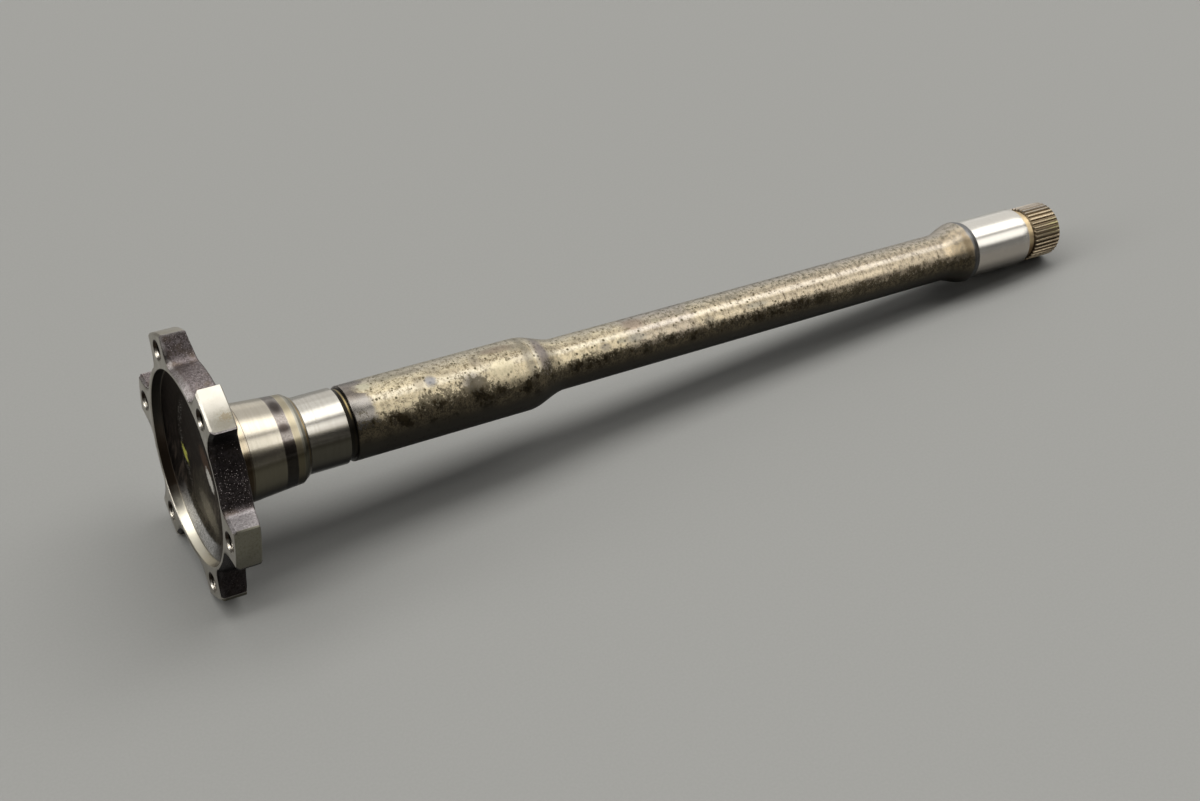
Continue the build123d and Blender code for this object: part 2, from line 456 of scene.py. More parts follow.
# Toothed end; the columns shift to the teeth's own spacing along the neck
columns = tooth_columns()
for t in (0.35, 0.7):
    x = mix(JOURNAL_END, TEETH_START, 0.2 + 0.75 * t)
    ring([(x, NECK_R, mix(ANGLES[j], columns[j][1], t)) for j in range(AROUND)], TOOTHED)
climb = (TOOTH_TIP_R - NECK_R) / LEAD_IN
for into in (0.0, (TOOTH_ROOT_R - NECK_R) / climb, 0.43, LEAD_IN):
    x = TEETH_START + into
    cone = NECK_R + (x - TEETH_START) * climb
    ring([(x, min(r, cone), a) for r, a in columns], TOOTHED)
ring([(mix(TEETH_START, SHAFT_END, 0.5), r, a) for r, a in columns], TOOTHED)
for back in (END_BEVEL, 0.67, END_BEVEL - (TOOTH_TIP_R - TOOTH_ROOT_R), 0.0):
    cone = TOOTH_TIP_R - END_BEVEL + back
    ring([(SHAFT_END - back, min(r, cone), a) for r, a in columns], TOOTHED)
end_face = rounded(
    [(SHAFT_END, 11), (SHAFT_END, MOUTH_R), (SHAFT_END - CENTRE_CONE, CENTRE_R),
     (SHAFT_END - CENTRE_DEPTH, CENTRE_R), (SHAFT_END - CENTRE_DEPTH, 0.4)],
    [0.15, 0.1, 0.2])
for x, r in end_face:
    circle(x, r, TOOTHED)


def quads(rows, around):
    """Faces between each ring of points and the next."""
    return [
        (i * around + j, i * around + (j + 1) % around,
         (i + 1) * around + (j + 1) % around, (i + 1) * around + j)
        for i in range(rows - 1) for j in range(around)]


# One closed mesh from the rings
verts = [place(x, r, a) for points in rings for x, r, a in points]
faces, looks = quads(len(rings), AROUND), []
for look in ring_looks[:-1]:
    for j in range(AROUND):
        k = (j + 1) % AROUND
        on_tip = is_tip(j) and is_tip(k) and j // PER_LOBE == k // PER_LOBE
        looks.append(TIP_OR_FLANK if look == FORGED and on_tip else look)
first_centre, last_centre = len(verts), len(verts) + 1
verts.append(place(DISH_DEPTH, 0, 0))
verts.append(place(SHAFT_END - CENTRE_DEPTH, 0, 0))
end = (len(rings) - 1) * AROUND
for j in range(AROUND):
    k = (j + 1) % AROUND
    faces.append((first_centre, k, j))
    looks.append(DISH)
    faces.append((last_centre, end + j, end + k))
    looks.append(TOOTHED)

# The turned tips lie between the front bevel and the back bevel of each lobe
mesh = bpy.data.meshes.new(NAME)
mesh.from_pydata(verts, [], faces)
for poly, look in zip(mesh.polygons, looks):
    if look == TIP_OR_FLANK:
        local = poly.center - FACE
        far = hypot(local.dot(UP), local.dot(SIDE)) / MM
        look = FACE_STEEL if far > TIP_R - TIP_FRONT_BEVEL - 0.35 else FORGED
    poly.material_index = look
mesh.validate()
shaft = bpy.data.objects.new(NAME, mesh)
bpy.context.scene.collection.objects.link(shaft)


def thread_radius(x, angle):
    """Radius of a right-hand thread's surface at a depth and an angle."""
    s = (x / THREAD_PITCH - angle / (2 * pi)) % 1.0
    full = THREAD_ROOT_R - THREAD_CORE_R
    rise_end = CREST_SHARE + FLANK_SHARE
    fall_start = rise_end + ROOT_SHARE
    if s < CREST_SHARE:
        return THREAD_CORE_R
    if s < rise_end:
        return THREAD_CORE_R + full * (s - CREST_SHARE) / FLANK_SHARE
    if s < fall_start:
        return THREAD_ROOT_R
    return THREAD_ROOT_R - full * (s - fall_start) / FLANK_SHARE


def thread_cutter(k):
    """A closed plug of one hole's shape: countersunk mouth, M8 thread and bevelled far end. No
    ring of it lies in the plane of the front face, so the cut stays clean."""
    step = THREAD_PITCH / PLUG_TURN_STEPS
    back = back_x(BOLT_R)
    stations = [-1.0, -0.3]
    stations += [(i + 0.1) * step for i in range(int(back / step) + 4)] + [back + 1.5]
    middle = 2 * pi / LOBES * (k + 0.5)
    pts = []
    for x in stations:
        mouth = HOLE_MOUTH_R - max(x, -0.3)
        far = HOLE_MOUTH_R - 0.1 - max(back - x, -0.4)
        for j in range(PLUG_SIDES):
            a = 2 * pi * (j + 0.3) / PLUG_SIDES
            r = max(thread_radius(x, a), mouth, far)
            p, q = BOLT_R + r * cos(a), r * sin(a)
            pts.append(place(x, hypot(p, q), middle + atan2(q, p)))
    near_end = tuple(range(PLUG_SIDES))[::-1]
    far_end = tuple(range(len(pts) - PLUG_SIDES, len(pts)))
    cutter = bpy.data.meshes.new(f"cutter_{k}")
    cutter.from_pydata(pts, [], quads(len(stations), PLUG_SIDES) + [near_end, far_end])
    for poly in cutter.polygons:
        poly.material_index = THREAD
    return cutter


bpy.context.view_layer.update()
for k in range(LOBES):
    cutter = bpy.data.objects.new(f"cutter_{k}", thread_cutter(k))
    bpy.context.scene.collection.objects.link(cutter)
    cut = shaft.modifiers.new(f"hole_{k}", "BOOLEAN")
    cut.operation, cut.solver, cut.object = "DIFFERENCE", "EXACT", cutter
    cut.material_mode = "INDEX"


class Value:
    """A number or colour in a shader, so that formulas can be written as such."""

    def __init__(self, shader, socket):
        self.shader, self.socket = shader, socket

    def _m(self, op, *others, swap=False):
        args = [self, *others]
        return self.shader.math(op, *(reversed(args) if swap else args))

    def __add__(self, o): return self._m("ADD", o)
    def __radd__(self, o): return self._m("ADD", o)
    def __sub__(self, o): return self._m("SUBTRACT", o)
    def __rsub__(self, o): return self._m("SUBTRACT", o, swap=True)
    def __mul__(self, o): return self._m("MULTIPLY", o)
    def __rmul__(self, o): return self._m("MULTIPLY", o)
    def __truediv__(self, o): return self._m("DIVIDE", o)
    def __neg__(self): return self._m("MULTIPLY", -1.0)


class Nodes:
    """A node tree with short calls for what this scene uses."""

    def __init__(self, tree):
        self.tree = tree
        tree.nodes.clear()

    def node(self, kind, *values, **settings):
        """A new node with some of its settings, and its inputs fed in order but for None."""
        n = self.tree.nodes.new(kind)
        for key, value in settings.items():
            setattr(n, key, value)
        for socket, value in zip(n.inputs, values):
            if value is not None:
                self.feed(socket, value)
        return n

    def feed(self, socket, value):
        """Links a value to a socket, or sets the socket to a plain number or colour."""
        if isinstance(value, Value):
            value = value.socket
        if hasattr(value, "is_output"):
            self.tree.links.new(value, socket)
            return
        if isinstance(value, tuple) and len(value) == 3 and len(socket.default_value) == 4:
            value = (*value, 1.0)
        socket.default_value = value

    def math(self, op, *args):
        """A Math node."""
        return Value(self, self.node("ShaderNodeMath", *args, operation=op).outputs[0])

    def noise(self, vector, detail=3.0, rough=0.55, scale=1.0):
        """Smooth noise from 0 to 1."""
        n = self.node("ShaderNodeTexNoise", vector, None, scale, detail, rough)
        return Value(self, n.outputs["Fac"])

    def step(self, value, low, high, start=0.0, end=1.0):
        """Smooth step of a value from one level to another."""
        n = self.node("ShaderNodeMapRange", value, low, high, start, end,
                      interpolation_type="SMOOTHSTEP")
        return Value(self, n.outputs[0])

    def fall(self, value, low, high):
        """1 under one value and 0 over the other, with a smooth step between."""
        return self.step(value, low, high, 1.0, 0.0)

    def band(self, value, low, high, soft):
        """1 between two values and 0 outside them, with soft edges."""
        rise = self.step(value, low - soft, low + soft)
        return rise * self.fall(value, high - soft, high + soft)

    def blend(self, factor, a, b, how="MIX"):
        """Colour a where the factor is 0, and colour b where it is 1."""
        n = self.node("ShaderNodeMix", factor, None, None, None, None, None, a, b,
                      data_type="RGBA", blend_type=how, clamp_factor=True)
        return Value(self, n.outputs[2])

    def tint(self, factor, a, b):
        """Colour a times colour b, as far as the factor says."""
        return self.blend(factor, a, b, "MULTIPLY")


class Shader(Nodes):
    """A material, with the shaft's own coordinates."""

    def __init__(self, name):
        self.material = bpy.data.materials.new(name)
        self.material.use_nodes = True
        super().__init__(self.material.node_tree)
        out = self.node("ShaderNodeOutputMaterial")
        self.bsdf = self.node("ShaderNodeBsdfPrincipled")
        self.tree.links.new(self.bsdf.outputs[0], out.inputs[0])
        coords = self.node("ShaderNodeTexCoord")
        self.place = coords.outputs["Object"]
        self.normal = coords.outputs["Normal"]
        self._axes = self._shaft = None

    def axes(self):
        """How far the shaded point lies along the shaft, to its side and upwards, in mm from
        the middle of the flange's front face."""
        if self._axes is None:
            from_face = self.node(
                "ShaderNodeVectorMath", self.place, tuple(FACE), operation="SUBTRACT").outputs[0]
            nodes = [
                self.node("ShaderNodeVectorMath", from_face, tuple(direction / MM),
                          operation="DOT_PRODUCT") for direction in (AXIS, SIDE, UP)]
            self._axes = [Value(self, n.outputs["Value"]) for n in nodes]
        return self._axes

    def shaft(self):
        """(x, radius, angle in degrees) of the shaded point in the shaft's frame."""
        if self._shaft is None:
            x, y, z = self.axes()
            r = self.math("SQRT", y * y + z * z)
            self._shaft = x, r, self.math("ARCTAN2", -y, z) * degrees(1)
        return self._shaft

    def upward(self):
        """How far the surface faces up, from -1 to 1."""
        return Value(self, self.node("ShaderNodeSeparateXYZ", self.normal).outputs[2])

    def vector(self, x, y, z):
        """Three values as one vector."""
        return self.node("ShaderNodeCombineXYZ", x, y, z).outputs[0]

    def stretched(self, along, around, shift=0.0):
        """Shaft coordinates in mm, scaled along the shaft and around it."""
        x, y, z = self.axes()
        return self.vector(x * along + shift, y * around, z * around)

    def cells(self, vector):
        """(distance to the nearest cell's point, a random number for that cell)."""
        n = self.node("ShaderNodeTexVoronoi", vector, None, 1.0)
        split = self.node("ShaderNodeSeparateColor", n.outputs["Color"])
        return Value(self, n.outputs["Distance"]), Value(self, split.outputs[0])

    def patch(self, along, around, reach_along, reach_around, warp=0.0, soft=0.35):
        """1 inside a blotch at a place on the shaft (mm, degrees) and 0 outside it."""
        x, _, angle = self.shaft()
        p = (x - along) / reach_along
        q = (angle - around) / reach_around
        far = self.math("SQRT", p * p + q * q) + warp
        return self.fall(far, 1.0 - soft, 1.0 + soft)

    def smear(self, middle, run, length, width, warp):
        """1 inside a smear across a face, at a place and along a direction given in mm."""
        _, y, z = self.axes()
        p = (y - middle[0]) * run[0] + (z - middle[1]) * run[1]
        q = (z - middle[1]) * run[0] - (y - middle[0]) * run[1]
        p, q = p / length, q / width
        return self.fall(self.math("SQRT", p * p + q * q) + warp, 0.75, 1.15)

    def bump(self, height, distance):
        """Bump of a height from 0 to 1 that stands for a distance in mm."""
        n = self.node("ShaderNodeBump")
        self.feed(n.inputs["Distance"], distance * MM)
        self.feed(n.inputs["Height"], height)
        return n.outputs[0]

    def paint(self, factor, colour):
        """Lays a colour over what is there, as far as the factor says."""
        self.colour = self.blend(factor, self.colour, colour)

    def shade(self, factor, colour):
        """Multiplies what is there by a colour, as far as the factor says."""
        self.colour = self.tint(factor, self.colour, colour)

    def finish(self, roughness, normal=None, metallic=1.0, **plain):
        """Feeds the shader; plain holds sockets that are the same all over."""
        self.feed(self.bsdf.inputs["Base Color"], self.colour)
        self.feed(self.bsdf.inputs["Roughness"], roughness)
        self.feed(self.bsdf.inputs["Metallic"], metallic)
        if normal is not None:
            self.feed(self.bsdf.inputs["Normal"], normal)
        for key, value in plain.items():
            self.bsdf.inputs[key.replace("_", " ")].default_value = value
        return self.material


def face_steel():
    """Turned front face, recess wall and lobe tips."""
    s = Shader("turned_steel")
    x, r, angle = s.shaft()
    marks = s.noise(s.vector(r * 3.0, x * 3.0, 0.0), 2.0)
    cloud = s.noise(s.stretched(0.14, 0.14), 4.0)
    grit = s.noise(s.stretched(1.1, 1.1), 4.0, 0.65)
    fine = s.noise(s.stretched(3.4, 3.4, 4.0), 3.0, 0.65)
    s.colour = s.blend(s.step(cloud, 0.35, 0.68), (0.50, 0.475, 0.425), (0.40, 0.375, 0.32))
    s.paint(s.step(grit, 0.56, 0.74) * 0.45, (0.20, 0.175, 0.13))
    s.shade(s.step(fine, 0.48, 0.70) * 0.35, (0.62, 0.58, 0.50))
    # lobe tips: one nearly clean with stains low on it, one under an olive film, one grey
    tips = s.step(r, 52.6, 53.4)
    clean = tips * s.band(angle, 10.0, 50.0, 4.0)
    s.paint(clean * 0.6, (0.58, 0.555, 0.50))
    stain = s.patch(6.8, 35.8, 5.6, 4.2, (grit - 0.5) * 2.2 + (fine - 0.5) * 1.6, 0.8)
    s.paint(stain * tips * 0.7, (0.31, 0.285, 0.225))
    rust = s.patch(7.5, 34.0, 2.2, 1.6, (grit - 0.5) * 3.0 + (fine - 0.5) * 2.0, 0.3)
    s.paint(rust * tips * 0.45, (0.30, 0.23, 0.12))
    s.shade(tips * s.fall(angle, -20.0, -8.0), (0.96, 0.94, 0.92))
    olive = tips * s.step(angle, 70.0, 78.0)
    film = s.blend(
        s.step(angle + (cloud - 0.5) * 6.0, 86.0, 99.0), (0.165, 0.159, 0.122),
        (0.088, 0.085, 0.064))
    film = s.tint(s.step(grit * 0.6 + fine * 0.4, 0.44, 0.62) * 0.55, film, (0.58, 0.57, 0.50))
    s.paint(olive * 0.9, film)
    # recess wall: a painted highlight along its low side, where it faces up; brown tarnish above,
    # painted darker to black along the top as shade
    wall = s.band(r, 39.2, 40.4, 0.15) * s.step(x, 0.35, 0.6)
    turn = s.math("ABSOLUTE", angle) + (cloud - 0.5) * 24.0
    s.paint(wall * s.step(turn, 146.0, 160.0), (0.70, 0.665, 0.56))
    brown = s.blend(s.step(turn, 88.0, 122.0), (0.016, 0.014, 0.012), (0.080, 0.050, 0.030))
    s.paint(wall * s.fall(turn, 138.0, 153.0) * 0.93, brown)
    return s.finish(0.27 + 0.14 * cloud, s.bump(marks * 0.4 + fine * 0.6, 0.02))


def forged():
    """Forged flanks and back of the flange: dark scale over bare grain."""
    s = Shader("forged_scale")
    x, r, angle = s.shaft()
    grain = s.noise(s.stretched(1.1, 1.1), 4.0, 0.7)
    fine = s.noise(s.stretched(3.2, 3.2, 7.0), 3.0, 0.6)
    cloud = s.noise(s.stretched(0.22, 0.22))
    dist, pick = s.cells(s.stretched(1.5, 1.5))
    height = grain * 0.6 + fine * 0.4
    light = s.step(height, 0.40, 0.62)
    s.colour = s.blend(light, (0.085, 0.070, 0.068), (0.270, 0.235, 0.240))
    s.paint(s.step(cloud, 0.45, 0.7) * 0.6, (0.15, 0.115, 0.09))
    reach = s.step(r, 43.4, 46.5, 2.35, 1.05)
    worn = s.fall(
        x + (cloud - 0.5) * 3.0 + (grain - 0.5) * 3.6 + (fine - 0.5) * 1.4 - reach, -0.35, 0.45)
    worn = worn * (1.0 - s.band(angle, 37.0, 79.0, 3.0) * 0.85)
    worn = s.math("MAXIMUM", worn, s.step(r, 52.9, 53.9))
    s.paint(worn * s.step(height, 0.34, 0.58, 0.15, 0.85), (0.40, 0.372, 0.368))
    spark = (
        s.fall(dist, 0.10, 0.32)
        * s.step(pick + s.band(angle, 56.0, 77.0, 4.0) * 0.42, 0.72, 0.80))
    s.paint(spark * 0.85, (0.66, 0.58, 0.58))
    # painted light: the upward-facing flank of the lower-right lobe is painted lighter
    lit_flank = s.band(angle, 75.0, 84.0, 1.5) * s.step(r, 43.8, 45.0)
    s.paint(lit_flank * 0.85, s.blend(light, (0.29, 0.27, 0.275), (0.52, 0.49, 0.50)))
    # painted shade: surfaces that face down, the hollows that face the front and down, and the
    # bottom lobe's foot are darkened nearly to black
    up = s.upward()
    facing_down_shade = s.step(up + (cloud - 0.5) * 0.2, -0.15, 0.50, 0.9, 0.0)
    inside = s.math("MAXIMUM", s.fall(up, 0.66, 0.86), s.fall(r, 43.5, 44.3))
    hollow_shade = s.band(angle, 38.0, 76.8, 2.0) * inside * (1.0 - worn) * (1.0 - spark)
    hollow_shade = hollow_shade * s.step(angle + (cloud - 0.5) * 12.0, 52.0, 70.0, 1.0, 0.78)
    foot = s.band(angle, 130.0, 172.0, 6.0)
    dark = s.math("MAXIMUM", s.math("MAXIMUM", facing_down_shade, hollow_shade * 0.93), foot * 0.88)
    s.shade(dark, (0.02, 0.017, 0.016))
    rough = 0.33 + 0.16 * grain - 0.12 * spark
    return s.finish(rough, s.bump(height + 0.7 * spark, 0.26), 0.95)


def dish_steel():
    """Floor and slope of the recess: black scale, bare and grey on the low part of the slope, with
    painted light and a painted glint.
    """
    s = Shader("dish_scale")
    x, r, angle = s.shaft()
    _, y, z = s.axes()
    grain = s.noise(s.stretched(1.0, 1.0), 4.0, 0.7)
    fine = s.noise(s.stretched(3.0, 3.0, 5.0), 2.0)
    cloud = s.noise(s.stretched(0.12, 0.12))
    worn = s.noise(s.vector(y * 0.55, z * 0.12, x * 0.2))
    around = s.math("ABSOLUTE", angle) + (cloud - 0.5) * 22.0
    low = s.step(around, 128.0, 158.0)
    s.colour = s.blend(s.step(grain, 0.35, 0.7), (0.013, 0.011, 0.010), (0.036, 0.030, 0.028))
    s.paint(s.step(worn, 0.46, 0.66) * s.step(around, 80.0, 130.0), (0.090, 0.072, 0.060))
    s.paint(low * s.step(grain, 0.36, 0.62) * 0.8, (0.125, 0.115, 0.088))
    slope = s.step(r + (grain - 0.5) * 2.0, 32.4, 34.2)
    bare = s.blend(
        s.step(fine * 0.5 + grain * 0.5, 0.38, 0.62), (0.25, 0.25, 0.252), (0.56, 0.56, 0.565))
    # painted light: the lowest part of the slope, which faces up, is painted lighter still
    bare = s.tint(s.step(around, 150.0, 170.0), bare, (1.65, 1.65, 1.66))
    s.paint(slope * s.step(around, 134.0, 162.0), bare)
    lip = s.band(r, 38.95, 39.6, 0.2)
    s.paint(lip * 0.55, (0.34, 0.30, 0.25))
    specks, which = s.cells(s.stretched(1.3, 1.3, 2.0))
    trail = s.band(r, 23.2, 27.2, 0.6) * s.band(angle, -150.0, -52.0, 8.0)
    bits = (
        s.fall(specks - trail * 0.18, 0.08, 0.24) * s.step(which + trail * 0.30, 0.86, 0.92)
        * s.band(r, 4.0, 28.0, 1.0))
    s.paint(bits * 0.85, (0.50, 0.48, 0.46))
    tan_film = s.smear((-4.5, -21.5), (0.93, 0.36), 11.0, 5.5, (grain - 0.5) * 2.0)
    s.paint(
        tan_film * 0.75,
        s.blend(s.step(fine, 0.40, 0.62), (0.36, 0.335, 0.270), (0.19, 0.178, 0.140)))
    # painted highlight: a bright glint of reflected light, with a brown painted fringe of it above
    smear = s.smear((-8.2, -2.3), (-0.72, -0.69), 5.4, 2.7, (grain - 0.5) * 1.5)
    glint_fringe = s.smear((-3.8, 3.6), (-0.80, -0.60), 7.0, 4.2, (grain - 0.5) * 1.6)
    s.paint(glint_fringe * 0.65, (0.17, 0.105, 0.072))
    s.paint(smear, (0.95, 0.93, 0.88))
    # a dab of yellow-green marking paint
    dab = s.smear((20.9, -10.3), (0.78, 0.62), 4.2, 1.9, (grain - 0.5) * 1.8 + (fine - 0.5) * 1.2)
    cross = s.smear((21.0, -9.0), (0.10, 0.99), 0.9, 3.2, (grain - 0.5) * 1.8 + (fine - 0.5) * 1.2)
    dab = s.math("MAXIMUM", dab, cross)
    s.paint(dab, (0.47, 0.47, 0.07))
    relief = s.bump(grain * 0.7 + fine * 0.3, 0.12)
    return s.finish(0.34 + 0.22 * grain, relief, 1.0 - dab, Specular_Tint=(0.62, 0.60, 0.58, 1.0))


def ground():
    """Turned hub, ground bearing seat and ground journal."""
    s = Shader("ground_steel")
    x, _, angle = s.shaft()
    lines = s.noise(s.stretched(5.0, 0.04), 3.0, 0.6)
    broad = s.noise(s.stretched(0.9, 0.05, 3.0), 3.0, 0.6)
    cloud = s.noise(s.stretched(0.3, 0.16))
    grit = s.noise(s.stretched(1.4, 1.4, 9.0), 3.0, 0.6)
    journal = s.step(x, 390.0, 394.0)
    nose = s.band(x, 42.2, 44.4, 0.35)
    hub = s.fall(x, 45.4, 45.8)
    s.colour = s.blend(journal, (0.50, 0.478, 0.435), (0.632, 0.608, 0.566))
    s.shade(hub, (1.04, 1.005, 0.93))
    s.shade(s.step(broad, 0.42, 0.62) * (1.0 - journal) * 0.25, (0.80, 0.78, 0.74))
    s.shade(s.step(lines, 0.50, 0.75) * 0.22, (0.72, 0.70, 0.66))
    # warm fillet at the hub's foot, painted darker on its low side as shade, then a fine scribed
    # line
    foot = s.fall(x, 19.8, 21.2)
    s.shade(foot, (1.05, 0.97, 0.85))
    s.shade(foot * s.step(angle + (cloud - 0.5) * 10.0, 44.0, 60.0), (0.30, 0.26, 0.24))
    s.shade(s.band(x, 20.65, 20.95, 0.12) * 0.8, (0.35, 0.31, 0.27))
    # band of varnish, with darker drops on it
    edge_a = 34.5 + (cloud - 0.5) * 0.5
    edge_b = 39.2 + (cloud - 0.5) * 0.5
    varnish = s.step(x - edge_a, -0.3, 0.3) * s.fall(x - edge_b, -0.3, 0.3)
    film = s.blend(s.step(grit, 0.40, 0.68), (0.250, 0.226, 0.211), (0.168, 0.146, 0.134))
    film = s.blend(
        s.patch(36.8, 2.0, 2.0, 11.5, (grit - 0.5) * 1.2, 0.5) * 0.85, film, (0.055, 0.045, 0.04))
    film = s.blend(
        s.patch(36.6, 34.5, 2.3, 5.5, (grit - 0.5) * 1.2, 0.5) * 0.85, film, (0.06, 0.045, 0.04))
    s.paint(varnish, film)
    s.shade(s.band(x, 39.2, 42.0, 0.25), (0.80, 0.765, 0.655))
    s.paint(nose * 0.9, (0.29, 0.28, 0.235))
    s.shade(s.band(x, 44.6, 45.3, 0.15), (1.0, 0.80, 0.46))
    s.shade(s.band(x, 45.55, 46.05, 0.12) * 0.9, (0.16, 0.14, 0.12))
    seat = s.band(x, 46.0, 63.4, 0.3)
    # painted light and shade by angle: the seat darker below 43-50°, the hub lighter at 33-52° and
    # a little darker near its top, the journal's top lighter, a darker band at 50-67° off the
    # journal, the seat lighter at 1-19°
    s.shade(seat * s.step(angle, 43.0, 50.0), (0.72, 0.71, 0.70))
    s.shade(hub * s.band(angle, 33.0, 52.0, 4.0), (1.22, 1.22, 1.22))
    s.shade(journal * s.fall(angle, -22.0, -8.0), (1.35, 1.37, 1.38))
    shaded_band = (1.0 - journal) * s.band(angle, 50.5, 67.0, 2.0)
    s.shade(shaded_band, (0.66, 0.65, 0.62))
    s.shade(shaded_band * varnish, (0.38, 0.36, 0.35))
    s.shade(hub * s.band(angle, -5.0, 11.0, 4.0), (0.85, 0.85, 0.86))
    s.shade(seat * s.band(angle, 1.0, 19.0, 3.0), (1.17, 1.18, 1.19))
    # painted shade: the underside is darkened to a brownish grey, the journal's less so
    low_side_shade = s.fall(s.upward() + (cloud - 0.5) * 0.06, 0.28, 0.54)
    deep = s.blend(s.step(angle, 66.0, 80.0), (0.120, 0.112, 0.092), (0.250, 0.248, 0.218))
    deep = s.blend(s.step(angle, 96.0, 118.0), deep, (0.115, 0.112, 0.098))
    deep = s.blend(
        journal, deep,
        s.blend(s.step(angle, 84.0, 102.0), (0.77, 0.735, 0.705), (0.41, 0.39, 0.37)))
    s.shade(low_side_shade, deep)
    s.shade(varnish * low_side_shade * 0.7, (0.25, 0.25, 0.25))
    rough = (
        0.15 + 0.07 * lines + 0.05 * hub + 0.16 * nose + 0.02 * varnish + 0.055 * journal
        + 0.09 * s.band(x, 39.4, 42.4, 0.3) + 0.04 * seat)
    return s.finish(rough, s.bump(lines, 0.004))


# Blotches on the stem: place along and round the shaft, reach along and round it, colour, strength
BLOTCHES = (
    (75.2, -1.0, 2.6, 8.0, (0.56, 0.53, 0.40), 0.9),
    (102.0, 22.0, 2.4, 8.5, (0.195, 0.193, 0.200), 0.9),
    (96.0, -8.0, 5.0, 5.0, (0.20, 0.175, 0.135), 0.55),
    (105.0, 4.0, 3.4, 7.0, (0.25, 0.22, 0.175), 0.45),
    (143.0, 2.0, 2.6, 8.0, (0.21, 0.19, 0.15), 0.6),
    (129.0, -6.0, 3.0, 6.0, (0.245, 0.215, 0.17), 0.5),
    (97.0, 19.0, 2.0, 10.0, (0.21, 0.18, 0.135), 0.6),
    (87.0, -8.0, 7.0, 6.0, (0.255, 0.235, 0.175), 0.5),
    (110.0, 17.0, 4.0, 5.0, (0.25, 0.215, 0.155), 0.55),
    (124.0, 8.0, 2.6, 12.0, (0.24, 0.21, 0.165), 0.55),
    (119.5, 42.0, 4.5, 14.0, (0.21, 0.20, 0.20), 0.65),
    (118.5, 64.0, 2.2, 26.0, (0.050, 0.045, 0.035), 0.8),
    (136.0, -4.0, 6.5, 9.0, (0.24, 0.19, 0.145), 0.7),
    (134.0, 32.0, 6.0, 13.0, (0.56, 0.50, 0.35), 0.6),
    (147.0, 30.0, 2.0, 60.0, (0.17, 0.155, 0.125), 0.62),
    (150.6, 30.0, 0.7, 60.0, (0.52, 0.48, 0.40), 0.45),
    (154.2, 26.0, 2.6, 50.0, (0.235, 0.205, 0.205), 0.75),
    (185.2, 42.0, 2.4, 8.0, (0.24, 0.215, 0.18), 0.7),
    (193.5, 38.0, 1.9, 5.5, (0.30, 0.285, 0.22), 0.6),
    (202.5, 2.0, 4.8, 17.0, (0.275, 0.215, 0.17), 0.7),
    (200.5, 40.0, 5.0, 9.0, (0.25, 0.25, 0.225), 0.5),
    (213.5, 12.0, 2.3, 6.0, (0.30, 0.275, 0.20), 0.6),
    (226.0, 4.0, 1.6, 9.0, (0.27, 0.245, 0.20), 0.6),
    (239.0, 47.0, 2.6, 9.0, (0.20, 0.18, 0.145), 0.65),
    (254.0, 5.0, 4.8, 8.0, (0.22, 0.20, 0.16), 0.6),
    (265.0, 42.0, 6.0, 6.0, (0.27, 0.255, 0.21), 0.6),
    (390.0, 42.0, 2.4, 26.0, (0.22, 0.165, 0.095), 0.75),
    (176.0, 6.0, 5.0, 8.0, (0.26, 0.23, 0.175), 0.45),
    (315.0, -2.0, 2.5, 9.0, (0.24, 0.215, 0.175), 0.5),
)


